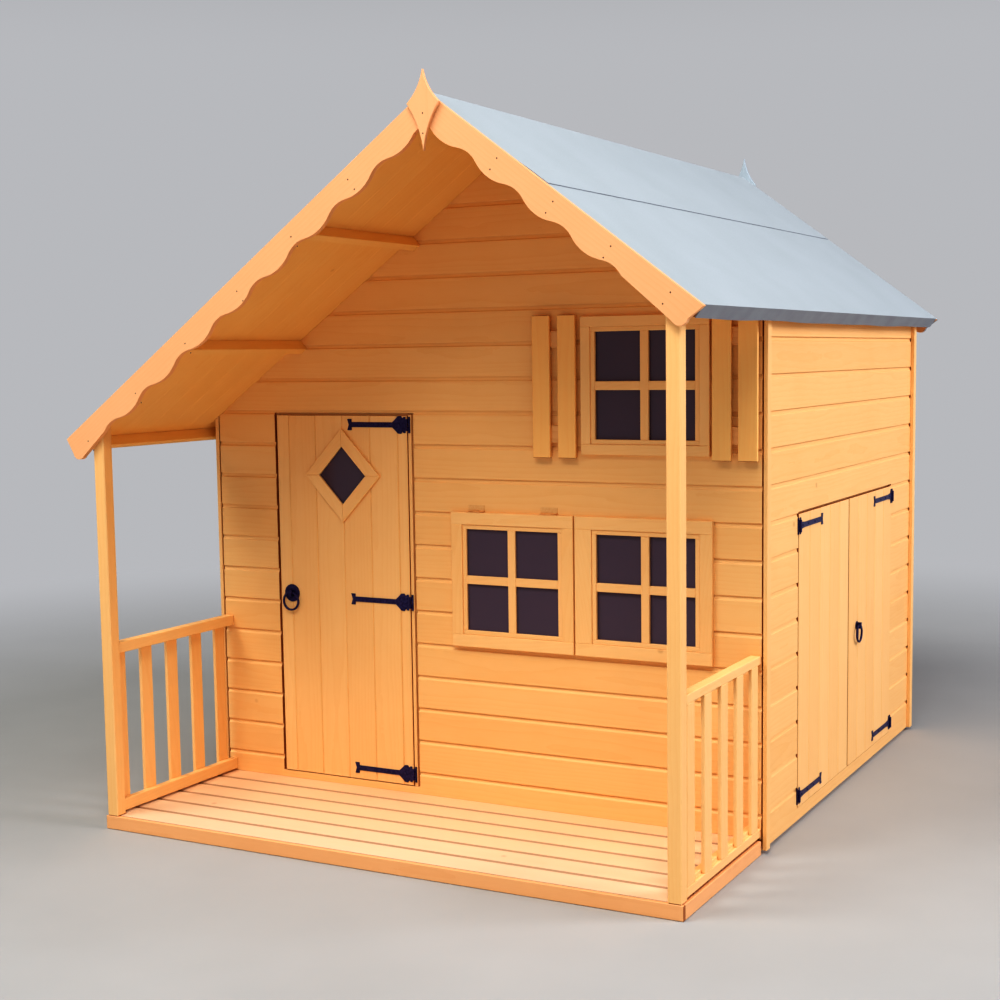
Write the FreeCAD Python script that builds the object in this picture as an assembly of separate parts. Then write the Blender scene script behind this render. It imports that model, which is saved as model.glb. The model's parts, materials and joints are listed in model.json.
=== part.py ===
# Two storey garden playhouse: veranda, plank front door, casement window, side store and bunk floor.
# All sizes in mm. The house is drawn with x from the left wall, y from the front wall, z from the ground.
import FreeCAD, Part
import math
import os

os.makedirs("parts", exist_ok=True)
V = FreeCAD.Vector

# Driving sizes
cover = 112                 # height that one shiplap board shows
house_w = 2032              # outer face to outer face of the side walls
house_d = 1832              # front wall face to rear wall face
veranda_d = 660             # front wall face to the front of the veranda
floor_top = 44              # walking surface above the ground
pane_h = 337                # glazed block of every window
low_pane_z = 629            # lower glazing above the ground
storey_gap = 301            # lower glazing to upper glazing
eave_over_window = 99       # upper glazing to the felt over the right wall
door_w_share = 0.2702       # door opening, glazed block and ridge, over the house's width
pane_w_share = 0.1644
ridge_share = 0.628
pitch_left = 35.8           # degrees
pitch_right = 36.8
board_t = 12                # walls, floors and door planks
stick = 28                  # wall framing, square
fit_gap = 3                 # round every door leaf
face_gap = 0.5              # between parts that move past one another
past = 10                   # how far a cutting tool runs past the piece it cuts

full_turn = 360
half_turn = full_turn / 2
quarter_turn = full_turn / 4


# Shared shapes

def box(x0, x1, y0, y1, z0, z1):
    """Square cut piece between the given coordinates."""
    return Part.makeBox(x1 - x0, y1 - y0, z1 - z0, V(x0, y0, z0))


def face_of(points):
    """Flat face bounded by straight edges through the points."""
    return Part.Face(Part.makePolygon(points + points[:1]))


def prism_xz(points, y0, y1):
    """Piece with the outline (x, z), running from y0 to y1."""
    return face_of([V(x, y0, z) for x, z in points]).extrude(V(0, y1 - y0, 0))


def prism_yz(points, x0, x1):
    """Piece with the outline (y, z), running from x0 to x1."""
    return face_of([V(x0, y, z) for y, z in points]).extrude(V(x1 - x0, 0, 0))


def prism_xy(points, z0, z1):
    """Piece with the outline (x, y), running from z0 to z1."""
    return face_of([V(x, y, z0) for x, y in points]).extrude(V(0, 0, z1 - z0))


def rod(start, axis, radius, length):
    """Round piece from the start point along the axis."""
    return Part.makeCylinder(radius, length, start, axis)


def forged(start, axis, radius, length, sides):
    """Piece with flats from the start point along the axis; its corners lie on the radius."""
    aim = FreeCAD.Rotation(AXIS_Z, axis)
    corners = []
    for i in range(sides):
        a = math.radians(full_turn * (2 * i + 1) / (2 * sides))
        corners.append(start + aim.multVec(V(radius * math.cos(a), radius * math.sin(a), 0)))
    return face_of(corners).extrude(axis * length)


def joined(shapes):
    """One solid from pieces that overlap or touch."""
    whole = shapes[0]
    for shape in shapes[1:]:
        whole = whole.fuse(shape)
    return whole.removeSplitter()


def minus(shapes, tools):
    """The shapes with every tool cut away."""
    return [shape.cut(Part.makeCompound(tools)) for shape in shapes]


def turned(shapes, place):
    """Copies of the shapes, set by a placement."""
    copies = []
    for shape in shapes:
        copy = shape.copy()
        copy.Placement = place.multiply(copy.Placement)
        copies.append(copy)
    return copies


AXIS_X = V(1, 0, 0)
AXIS_Y = V(0, 1, 0)
AXIS_Z = V(0, 0, 1)
to_part_frame = V(-house_w / 2, (veranda_d - house_d) / 2, 0)
sliver = 400                # cubic mm: an offcut below this is left out


def save(node, shapes):
    """Write one node, moved so that its origin lies under the middle of the base."""
    solids = []
    for shape in shapes:
        solids += [s for s in shape.Solids if s.Volume > sliver or len(shape.Solids) == 1]
    whole = Part.makeCompound(solids)
    whole.translate(to_part_frame)
    whole.exportStep("parts/" + node + ".step")


# Roof planes: the right wall ends over the upper window, and the pitch carries the ridge
up_pane_z = low_pane_z + pane_h + storey_gap
ridge_x = house_w * ridge_share
pitch = {-1: math.radians(pitch_left), 1: math.radians(pitch_right)}
ridge_z = up_pane_z + pane_h + eave_over_window + (house_w - ridge_x) * math.tan(pitch[1])
felt_t = 2.5
roof_board_t = 11
soffit = felt_t + roof_board_t      # depth of the boards' underside below the felt surface
roof_set_back = 1
rear_overhang = 128
eave_over_left = 103                # down the slope from over the wall face to the board ends
eave_over_right = 74
roof_front = -veranda_d + roof_set_back
roof_back = house_d + rear_overhang
eave_run = {-1: ridge_x / math.cos(pitch[-1]) + eave_over_left,
            1: (house_w - ridge_x) / math.cos(pitch[1]) + eave_over_right}
slopes = {"left": -1, "right": 1}


def slope_point(side, run, depth):
    """(x, z) at a distance down one slope, at a depth below its felt surface."""
    a = pitch[side]
    x = ridge_x + side * (run * math.cos(a) - depth * math.sin(a))
    return (x, ridge_z - run * math.sin(a) - depth * math.cos(a))


def roof_z(x, depth):
    """Height over x of the plane that lies at a depth below the felt surface."""
    a = pitch[-1] if x < ridge_x else pitch[1]
    return ridge_z - abs(x - ridge_x) * math.tan(a) - depth / math.cos(a)


def run_at(side, x, depth):
    """Distance down one slope at which the plane at a depth passes over x."""
    a = pitch[side]
    return (side * (x - ridge_x) + depth * math.sin(a)) / math.cos(a)


def slab(side, run0, run1, depth0, depth1, y0, y1):
    """Piece lying square in one roof slope."""
    corners = [(run0, depth0), (run1, depth0), (run1, depth1), (run0, depth1)]
    return prism_xz([slope_point(side, r, d) for r, d in corners], y0, y1)


def under_roof(x0, x1, z0, depth, y0, y1):
    """Upright piece from z0 up to the plane at a depth below the roof."""
    top = [(x1, roof_z(x1, depth)), (x0, roof_z(x0, depth))]
    if x0 < ridge_x < x1:
        top.insert(1, (ridge_x, roof_z(ridge_x, depth)))
    return prism_xz([(x0, z0), (x1, z0)] + top, y0, y1)


# Purlins, ridge beam and eave battens
purlin_w = 28
purlin_d = 38
purlin_share = 0.361                # plan spacing over the ridge's distance from the left wall
eave_batten_t = 20
eave_batten_d_left = 38
eave_batten_d_right = 30
eave_batten_d = {-1: eave_batten_d_left, 1: eave_batten_d_right}
ridge_beam_d = 60

purlin_pitch = ridge_x * purlin_share
purlins = []
for side, x_mid in [(-1, ridge_x - purlin_pitch), (-1, ridge_x - 2 * purlin_pitch),
                    (1, ridge_x + purlin_pitch)]:
    run = run_at(side, x_mid, soffit)
    purlins.append(slab(side, run - purlin_w / 2, run + purlin_w / 2, soffit, soffit + purlin_d,
                        roof_front, roof_back))
beam_left = ridge_x - purlin_w / 2
beam_right = ridge_x + purlin_w / 2
beam_bottom = roof_z(ridge_x, soffit) - ridge_beam_d
ridge_beam = prism_xz([(beam_left, beam_bottom), (beam_right, beam_bottom),
                       (beam_right, roof_z(beam_right, soffit)), (ridge_x, roof_z(ridge_x, soffit)),
                       (beam_left, roof_z(beam_left, soffit))], roof_front, roof_back)
roof_timbers = purlins + [ridge_beam]
save("purlins", roof_timbers)
save("eave_battens", [slab(side, eave_run[side] - eave_batten_t, eave_run[side], soffit,
                           soffit + eave_batten_d[side], roof_front, roof_back) for side in slopes.values()])

# Roof boards, laid up the slope from eave to ridge
roof_board_w = 112
board_count = math.ceil((roof_back - roof_front) / roof_board_w)
board_step = (roof_back - roof_front) / board_count
for hand, side in slopes.items():
    top_run = felt_t * math.tan(pitch[side])
    low_run = soffit * math.tan(pitch[side])
    outline = [slope_point(side, top_run, felt_t), slope_point(side, eave_run[side], felt_t),
               slope_point(side, eave_run[side], soffit), slope_point(side, low_run, soffit)]
    boards = []
    for i in range(board_count):
        y0 = roof_front + i * board_step
        boards.append(prism_xz(outline, y0, y0 + board_step))
    save("roof_boards_" + hand, boards)

# Mineral felt: two lapped widths on each slope, folded down over the eave battens
felt_lap = 60
felt_seam_left = 820                # run of the upper width's lower edge
felt_seam_right = 461
felt_hem = 2                        # the fold stops this far above the batten's lower edge
felt_seam = {-1: felt_seam_left, 1: felt_seam_right}
for hand, side in slopes.items():
    end = eave_run[side]
    seam = felt_seam[side]
    under = seam - felt_lap         # the lower width starts here, under the upper one
    fold_depth = soffit + eave_batten_d[side] - felt_hem
    lower = prism_xz([slope_point(side, r, d) for r, d in [
        (under, 0), (end + felt_t, 0), (end + felt_t, fold_depth), (end, fold_depth), (end, felt_t),
        (under, felt_t)]], roof_front, roof_back)
    upper = prism_xz([slope_point(side, r, d) for r, d in [
        (0, 0), (under - felt_lap, 0), (under - felt_t, -felt_t), (seam, -felt_t), (seam, 0),
        (under, 0), (under, felt_t), (felt_t * math.tan(pitch[side]), felt_t)]], roof_front, roof_back)
    save("roof_felt_" + hand, [lower, upper])

# Scalloped bargeboards, cut from plank and nailed over the roof's front and rear edges
barge_t = 18
barge_mid_d = 71                    # depth of the line that the waves cross
wave_out_l = 108                    # length of the part that bulges down
wave_in_l = 72                      # length of the part that is scooped out
wave_out_d = 12
wave_in_d = 8
nose_r = 16
nose_back = 30
nose_low = 84                       # depth of the lowest point at the nose
barge_past_left = 6                 # how far each board runs past the roof boards
barge_past_right = 8
nose_lean_left = -6                 # how far the end slants back over the board's depth
nose_lean_right = 16
wave_from_left = 96                 # run of the first wave
wave_from_right = 70
barge_past = {-1: barge_past_left, 1: barge_past_right}
nose_lean = {-1: nose_lean_left, 1: nose_lean_right}
wave_from = {-1: wave_from_left, 1: wave_from_right}


def barge(side, y0, y1):
    """One bargeboard with a plumb joint at the ridge and a rounded lower end."""
    def at(run, depth):
        x, z = slope_point(side, run, depth)
        return V(x, y0, z)

    wave_l = wave_out_l + wave_in_l
    end = eave_run[side] + barge_past[side]
    end_low = end - nose_lean[side]
    count = int((end_low - 2 * nose_back - wave_from[side]) / wave_l)
    run = wave_from[side]
    start = at(barge_mid_d * math.tan(pitch[side]), barge_mid_d)
    edges = [Part.makeLine(at(0, 0), start), Part.makeLine(start, at(run, barge_mid_d))]
    for i in range(count):
        out_mid = at(run + wave_out_l / 2, barge_mid_d + wave_out_d)
        in_mid = at(run + wave_out_l + wave_in_l / 2, barge_mid_d - wave_in_d)
        cross = at(run + wave_out_l, barge_mid_d)
        edges.append(Part.Arc(at(run, barge_mid_d), out_mid, cross).toShape())
        edges.append(Part.Arc(cross, in_mid, at(run + wave_l, barge_mid_d)).toShape())
        run += wave_l
    nose_from = at(end_low - nose_back, nose_low)
    nose_mid = at(end_low - nose_r / math.pi, nose_low - nose_r / math.pi)
    nose_to = at(end_low, nose_low - nose_back)
    edges.append(Part.makeLine(at(run, barge_mid_d), nose_from))
    edges.append(Part.Arc(nose_from, nose_mid, nose_to).toShape())
    edges.append(Part.makeLine(nose_to, at(end, 0)))
    edges.append(Part.makeLine(at(end, 0), at(0, 0)))
    return Part.Face(Part.Wire(edges)).extrude(V(0, y1 - y0, 0))


barge_front = roof_front - barge_t
barge_rear = roof_back + barge_t
save("bargeboards_front", [barge(side, barge_front, roof_front) for side in slopes.values()])
save("bargeboards_rear", [barge(side, roof_back, barge_rear) for side in slopes.values()])

# Finials: diamonds with hollow sides over the barge joints
finial_t = 12
finial_half_w = 52
finial_up = 58                      # tip above the ridge
finial_up_rear = 80                 # the rear finial is cut longer at the top
finial_mid = 34                     # widest level, below the ridge
finial_down = 167
finial_hollow = 9                   # how far each side curves in


def finial(y0, y1, up):
    """Hollow sided diamond centred on the ridge."""
    tips = [(0, up), (finial_half_w, -finial_mid), (0, -finial_down), (-finial_half_w, -finial_mid)]
    edges = []
    for i in range(len(tips)):
        ax, az = tips[i]
        bx, bz = tips[(i + 1) % len(tips)]
        length = math.hypot(bx - ax, bz - az)
        mx = (ax + bx) / 2 - finial_hollow * (az - bz) / length
        mz = (az + bz) / 2 - finial_hollow * (bx - ax) / length
        a, m, b = [V(ridge_x + px, y0, ridge_z + pz) for px, pz in [(ax, az), (mx, mz), (bx, bz)]]
        edges.append(Part.Arc(a, m, b).toShape())
    return Part.Face(Part.Wire(edges)).extrude(V(0, y1 - y0, 0))


save("finial_front", [finial(barge_front - finial_t, barge_front, finial_up)])
save("finial_rear", [finial(barge_rear, barge_rear + finial_t, finial_up_rear)])

# Floor: bearers, deck boards, house floor and fascias
bearer_w = 45
bearer_count = 5
fascia_t = 12
deck_count = 6
house_floor_count = 16
deck_slot = 7
fascia_short = 14                   # the side fascias stop this far before the front wall
bearer_top = floor_top - board_t
deck_front = -veranda_d + fascia_t
bearer_pitch = (house_w - 2 * board_t - bearer_w) / (bearer_count - 1)
bearers = []
for i in range(bearer_count):
    x0 = board_t + i * bearer_pitch
    bearers.append(box(x0, x0 + bearer_w, deck_front, house_d - board_t, 0, bearer_top))
save("floor_bearers", bearers)


def floor_boards(y0, y1, count, slot):
    """Boards across the house, side by side along y, with a slot between neighbours."""
    step = (y1 - y0 + slot) / count
    return [box(board_t, house_w - board_t, y0 + i * step, y0 + (i + 1) * step - slot,
                bearer_top, floor_top) for i in range(count)]


save("deck_boards", floor_boards(deck_front, board_t, deck_count, deck_slot))
save("house_floor", floor_boards(board_t, house_d - board_t, house_floor_count, 0))
save("deck_fascias", [
    box(0, house_w, -veranda_d, deck_front, 0, floor_top),
    box(0, fascia_t, deck_front, -fascia_short, 0, floor_top),
    box(house_w - fascia_t, house_w, deck_front, -fascia_short, 0, floor_top)])

# Veranda posts stand on the deck and run up to the roof boards
post = 42
veranda_in = 6                      # posts and balustrades stand this far inside the side walls' faces
post_back = roof_front + post
save("veranda_posts", [under_roof(x0, x0 + post, floor_top, soffit, roof_front, post_back)
                       for x0 in [veranda_in, house_w - veranda_in - post]])

# Balustrades: two rails, rebated on the outside for the ends of flat balusters
rail_top = 616
rail_w = 34
rail_h = 36
rail_lip = 26                       # height of the top rail in front of the balusters' ends
low_rail_h = 40
low_rail_lip = 28
low_rail_up = 8                     # clear of the deck
baluster_t = 12
baluster_w = 56
baluster_count = 5
baluster_first = 3                  # first baluster clear of the post
baluster_last = 28                  # last baluster clear of the front wall
baluster_z0 = floor_top + low_rail_up + low_rail_lip
baluster_z1 = rail_top - rail_lip
baluster_y0 = post_back + baluster_first
baluster_pitch = (-baluster_last - baluster_w - baluster_y0) / (baluster_count - 1)
for node, outer, inward in [("balustrade_left", veranda_in, 1),
                            ("balustrade_right", house_w - veranda_in, -1)]:
    mid = outer + inward * baluster_t
    inner = outer + inward * rail_w
    pieces = []
    for lip_z0, lip_z1, z0, z1 in [(baluster_z1, rail_top, rail_top - rail_h, rail_top),
                                   (floor_top + low_rail_up, baluster_z0, floor_top + low_rail_up,
                                    floor_top + low_rail_up + low_rail_h)]:
        profile = [(outer, lip_z0), (outer, lip_z1), (mid, lip_z1), (mid, z1), (inner, z1), (inner, z0),
                   (mid, z0), (mid, lip_z0)]
        corners = [c for c, d in zip(profile, profile[1:] + profile[:1]) if c != d]
        pieces.append(prism_xz(corners, post_back, 0).removeSplitter())
    for i in range(baluster_count):
        y0 = baluster_y0 + i * baluster_pitch
        pieces.append(box(*sorted([outer, mid]), y0, y0 + baluster_w, baluster_z0, baluster_z1))
    save(node, pieces)

# Openings: windows and shutters are set from the right corner, the door shares what is left
door_h = 1273
door_sill = 25                      # door opening above the floor
store_w = 1167
store_h = 970
store_sill = 9
store_share = 0.52                  # front wall to store opening, of the spare depth
door_share = 0.5388                 # left wall to door, of the width that is left
door_gap = 9                        # round the front door's head and latch side
jamb_to = 3                         # jamb strip past the hinge edge of the door opening
jamb_groove = 8                     # between the jamb strip and the boards
low_member = 56                     # frame members of the lower and upper windows
up_member = 48
meeting_member = 74                 # left member of the lower fixed window, beside the casement
window_gap = 5                      # between the frames of the lower windows
shutter_w_left = 150
shutter_w_right = 144
shutter_gap_left = 15               # from the window frame
shutter_gap_right = 10
shutter_to_corner = 12              # right shutter to the right wall face
rebate = 11                         # glass and its opening run this far behind the frame

door_w = house_w * door_w_share
pane_w = house_w * pane_w_share
right_pane_x = house_w - shutter_to_corner - shutter_w_right - shutter_gap_right - up_member - pane_w
casement_pane_x = right_pane_x - meeting_member - window_gap - low_member - pane_w
door_x0 = (casement_pane_x - door_w) * door_share
door_x1 = door_x0 + door_w
door_z0 = floor_top + door_sill
door_z1 = door_z0 + door_h
store_y0 = (house_d - store_w) * store_share
store_y1 = store_y0 + store_w
store_z0 = floor_top + store_sill
store_z1 = store_z0 + store_h


def grown(x, z, out):
    """Rectangle (x0, x1, z0, z1) that stands out round one glazed block."""
    return (x - out, x + pane_w + out, z - out, z + pane_h + out)


door_hole = (door_x0 - door_gap / 2, door_x1 + jamb_to + jamb_groove, door_z0, door_z1 + door_gap / 2)
store_hole = (store_y0, store_y1, store_z0, store_z1)
casement_hole = grown(casement_pane_x, low_pane_z, rebate)
low_hole = grown(right_pane_x, low_pane_z, rebate)
up_hole = grown(right_pane_x, up_pane_z, rebate)

# Shiplap cladding: half lapped boards with a scooped top edge, cut to the roof and the openings
clad_bottom = 11                    # the lowest course starts this far above the ground
lap = 10
lap_t = 6
scoop = 15                          # height of the scooped top edge
scoop_ledge = 4                     # its lower part slopes back by this much, then it stands upright
corner_groove = 4                   # the gable boards stop this far inside the corner strips


def clad(length, outline, holes, place):
    """Boards across one wall panel; u runs along the wall, z up, thickness inwards."""
    panel = prism_xz(outline, -past, board_t + past)
    for u0, u1, z0, z1 in holes:
        panel = panel.cut(box(u0, u1, -2 * past, board_t + 2 * past, z0, z1))
    top = max(z for u, z in outline)
    low = min(z for u, z in outline)
    boards = []
    for i in range(math.ceil((top - clad_bottom) / cover)):
        z = clad_bottom + i * cover
        if z + cover + lap > low:
            rise = z + cover - scoop
            profile = [(0, z), (0, rise), (scoop_ledge, rise + scoop_ledge), (lap_t, z + cover),
                       (lap_t, z + cover + lap), (board_t, z + cover + lap), (board_t, z + lap),
                       (lap_t, z + lap), (lap_t, z)]
            boards.append(prism_yz(profile, 0, length).common(panel))
    return turned(boards, place)


gable_l = board_t
gable_r = house_w - board_t


def gable(z0, seen_from_behind):
    """Outline of a gable wall in its own u direction."""
    x0 = corner_groove
    x1 = house_w - corner_groove
    points = [(x0, z0), (x1, z0), (x1, roof_z(x1, soffit)), (ridge_x, roof_z(ridge_x, soffit)),
              (x0, roof_z(x0, soffit))]
    return [(house_w - x, z) for x, z in points] if seen_from_behind else points


def side_wall(x):
    """Outline of the side wall whose outer face is at x."""
    top = roof_z(x, soffit)
    y0 = board_t
    y1 = house_d - board_t
    return [(y0, clad_bottom), (y1, clad_bottom), (y1, top), (y0, top)]


front_place = FreeCAD.Placement()
rear_place = FreeCAD.Placement(V(house_w, house_d, 0), FreeCAD.Rotation(AXIS_Z, half_turn))
right_place = FreeCAD.Placement(V(house_w, 0, 0), FreeCAD.Rotation(AXIS_Z, quarter_turn))
left_place = FreeCAD.Placement(V(0, house_d, 0), FreeCAD.Rotation(AXIS_Z, -quarter_turn))
front_boards = clad(house_w, gable(floor_top, False), [door_hole, casement_hole, low_hole, up_hole],
                    front_place)
rear_boards = clad(house_w, gable(clad_bottom, True), [], rear_place)
save("cladding_front", minus(front_boards, roof_timbers))
save("cladding_rear", minus(rear_boards, roof_timbers))
save("cladding_left", clad(house_d, side_wall(0), [], left_place))
save("cladding_right", clad(house_d, side_wall(house_w), [store_hole], right_place))

# Corner strips on the side walls; they stand proud of the gable boards, and a groove runs beside them
strip_t = 14
strip_w = 32
strip_proud = 2
strips = []
for x0 in [-strip_t, house_w]:
    for y0 in [-strip_proud, house_d + strip_proud - strip_w]:
        strips.append(under_roof(x0, x0 + strip_t, clad_bottom, soffit, y0, y0 + strip_w))
save("corner_strips", strips)

# Wall framing behind the boards
stop = 12                           # framing shows this much inside a door opening as the stop
rear_stud_count = 5
side_stud_count = 4
frame_in = board_t + stick
frame_z = floor_top + stick         # top of the bottom rail
rake_depth = soffit + stick / math.cos(pitch[-1])


def gable_frame(y0, y1, studs, cross):
    """Rake rails, bottom rail, studs (left edge x) and cross rails (x0, x1, z) of one gable."""
    rails = []
    for x_end in [gable_l, gable_r]:
        rails.append(prism_xz([(ridge_x, roof_z(ridge_x, soffit)), (x_end, roof_z(x_end, soffit)),
                               (x_end, roof_z(x_end, rake_depth)), (ridge_x, roof_z(ridge_x, rake_depth))],
                              y0, y1))
    sticks = [box(gable_l, gable_r, y0, y1, floor_top, frame_z)]
    sticks += [under_roof(x, x + stick, frame_z, rake_depth, y0, y1) for x in studs]
    sticks += [box(x0, x1, y0, y1, z, z + stick) for x0, x1, z in cross]
    return minus(rails, roof_timbers) + sticks


front_studs = [gable_l, door_x0 + stop - stick, door_x1 - stop, casement_hole[0] - stick, casement_hole[1],
               up_hole[0] - stick, up_hole[1], gable_r - stick]
front_cross = [(door_x0 + stop, door_x1 - stop, door_z1 - stop)]
for hole in [casement_hole, low_hole, up_hole]:
    x0, x1, z0, z1 = hole
    front_cross += [(x0, x1, z0 - stick), (x0, x1, z1)]
save("frame_front", gable_frame(board_t, frame_in, front_studs, front_cross))
rear_step = (gable_r - gable_l - stick) / (rear_stud_count - 1)
rear_studs = [gable_l + i * rear_step for i in range(rear_stud_count)]
save("frame_rear", gable_frame(house_d - frame_in, house_d - board_t, rear_studs, []))

side_y0 = frame_in
side_y1 = house_d - frame_in
side_step = (side_y1 - side_y0 - stick) / (side_stud_count - 1)
left_studs = [side_y0 + i * side_step for i in range(side_stud_count)]
right_studs = [side_y0, store_y0 + stop - stick, store_y1 - stop, side_y1 - stick]
for node, x0, studs in [("frame_left", board_t, left_studs),
                        ("frame_right", house_w - frame_in, right_studs)]:
    x1 = x0 + stick
    low = min(roof_z(x0, soffit), roof_z(x1, soffit)) - stick
    plate = [(x0, low), (x1, low), (x1, roof_z(x1, soffit)), (x0, roof_z(x0, soffit))]
    sticks = [prism_xz(plate, side_y0, side_y1), box(x0, x1, side_y0, side_y1, floor_top, frame_z)]
    sticks += [box(x0, x1, y, y + stick, frame_z, low) for y in studs]
    if node == "frame_right":
        head = store_z1 - stop
        sticks.append(box(x0, x1, store_y0 + stop, store_y1 - stop, head, head + stick))
    save(node, sticks)

# Bunk floor over the store, its partition and the ladder up to it
bunk_w = 646                        # partition's play side to the right wall face
loft_over_window = 151              # bunk floor over the lower glazing
joist_w = 28
joist_h = 45
joist_count = 5
ledger = 20
part_count = 9
bunk_count = 6
part_x = house_w - bunk_w
wall_in_r = house_w - frame_in
loft_top = low_pane_z + pane_h + loft_over_window
joist_top = loft_top - board_t
joist_z = joist_top - joist_h
part_step = (joist_z - floor_top) / part_count
save("partition_boards", [box(part_x, part_x + board_t, side_y0, side_y1, floor_top + i * part_step,
                              floor_top + (i + 1) * part_step) for i in range(part_count)])
joist_pitch = (side_y1 - side_y0 - joist_w) / (joist_count - 1)
joists = [box(wall_in_r - ledger, wall_in_r, side_y0, side_y1, joist_z - stick, joist_z)]
for i in range(joist_count):
    y0 = side_y0 + i * joist_pitch
    joists.append(box(part_x, wall_in_r, y0, y0 + joist_w, joist_z, joist_top))
save("bunk_joists", joists)
bunk_step = (wall_in_r - part_x) / bunk_count
save("bunk_boards", [box(part_x + i * bunk_step, part_x + (i + 1) * bunk_step, side_y0, side_y1,
                         joist_top, loft_top) for i in range(bunk_count)])

ladder_w = 340
ladder_back = 272                   # ladder to the rear framing
stile_w = 28
stile_t = 45
rung_h = 22
rung_t = 34
rung_count = 4
ladder_y = side_y1 - ladder_back - ladder_w
rung_y0 = ladder_y + stile_w
rung_y1 = ladder_y + ladder_w - stile_w
ladder = [box(part_x - stile_t, part_x, y0, y0 + stile_w, floor_top, loft_top)
          for y0 in [ladder_y, rung_y1]]
for i in range(rung_count):
    z0 = floor_top + (i + 1) * (loft_top - floor_top) / (rung_count + 1)
    ladder.append(box(part_x - rung_t, part_x, rung_y0, rung_y1, z0, z0 + rung_h))
save("ladder", ladder)

# Window frames, glazing bars and glass
trim_t = 16
bar_w = 28
bar_t = 11
glass_t = 3
bead_w = 15                         # glazing bead round each block
bead_back = 4                       # behind the frame's face


def ring(outer, inner, y0, y1):
    """Four members between two rectangles (x0, x1, z0, z1), butted at the corners."""
    x0, x1, z0, z1 = outer
    ix0, ix1, iz0, iz1 = inner
    return [box(x0, x1, y0, y1, z0, iz0), box(x0, x1, y0, y1, iz1, z1),
            box(x0, ix0, y0, y1, iz0, iz1), box(ix1, x1, y0, y1, iz0, iz1)]


def frame_ring(x, z, left, member, y0, y1):
    """Flat members round a glazed block and the thinner glazing bead inside them."""
    outer = (x - left, x + pane_w + member, z - member, z + pane_h + member)
    mid = grown(x, z, bead_w)
    return ring(outer, mid, y0, y1) + ring(mid, grown(x, z, 0), y0 + bead_back, y1)


def cross_bars(x, z, y0, y1):
    """Upright bar between the members and a level bar in two lengths."""
    left = x + (pane_w - bar_w) / 2
    low = z + (pane_h - bar_w) / 2
    return [box(left, left + bar_w, y0, y1, z, z + pane_h),
            box(x, left, y0, y1, low, low + bar_w),
            box(left + bar_w, x + pane_w, y0, y1, low, low + bar_w)]


for name, hole, z, left, member in [("window_low", low_hole, low_pane_z, meeting_member, low_member),
                                    ("window_up", up_hole, up_pane_z, up_member, up_member)]:
    save(name + "_frame", frame_ring(right_pane_x, z, left, member, -trim_t, 0)
         + cross_bars(right_pane_x, z, -bar_t, 0) + ring(hole, grown(right_pane_x, z, 0), glass_t, board_t))
    save(name + "_glass", [box(hole[0], hole[1], 0, glass_t, hole[2], hole[3])])

# Shutters beside the upper window: two boards on two battens each
shutter_below = 12                  # past the window frame
shutter_above = 6
shutter_board_w = 61
shutter_board_t = 12
shutter_batten_t = 12
shutter_batten_h = 55
batten_side = 10                    # the battens stop this far inside the boards' edges
batten_end = 48                     # and this far from the boards' ends
shutter_z0 = up_pane_z - up_member - shutter_below
shutter_z1 = up_pane_z + pane_h + up_member + shutter_above
left_x1 = right_pane_x - up_member - shutter_gap_left
right_x1 = house_w - shutter_to_corner
shutter_boards = []
shutter_battens = []
for x0, x1 in [(left_x1 - shutter_w_left, left_x1), (right_x1 - shutter_w_right, right_x1)]:
    front = -shutter_batten_t - shutter_board_t
    for bx in [x0, x1 - shutter_board_w]:
        shutter_boards.append(box(bx, bx + shutter_board_w, front, -shutter_batten_t,
                                  shutter_z0, shutter_z1))
    for bz in [shutter_z0 + batten_end, shutter_z1 - batten_end - shutter_batten_h]:
        shutter_battens.append(box(x0 + batten_side, x1 - batten_side, -shutter_batten_t, 0,
                                   bz, bz + shutter_batten_h))
save("shutter_boards", shutter_boards)
save("shutter_battens", shutter_battens)

# Top hung casement: a sash that lies over the wall and opens outwards
bar_over_glass = 4                  # the bars stand this far behind the sash's face
sash_back = -face_gap
sash_front = sash_back - trim_t
glass_front = sash_back - glass_t
sash_top = low_pane_z + pane_h + low_member
pane_x0, pane_x1, pane_z0, pane_z1 = casement_hole
glass_pane = box(pane_x0, pane_x1, glass_front, sash_back, pane_z0, pane_z1)
save("casement_sash", minus(frame_ring(casement_pane_x, low_pane_z, low_member, low_member, sash_front,
                                       sash_back), [glass_pane])
     + cross_bars(casement_pane_x, low_pane_z, sash_front + bar_over_glass, glass_front))
save("casement_glass", [glass_pane])

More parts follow.
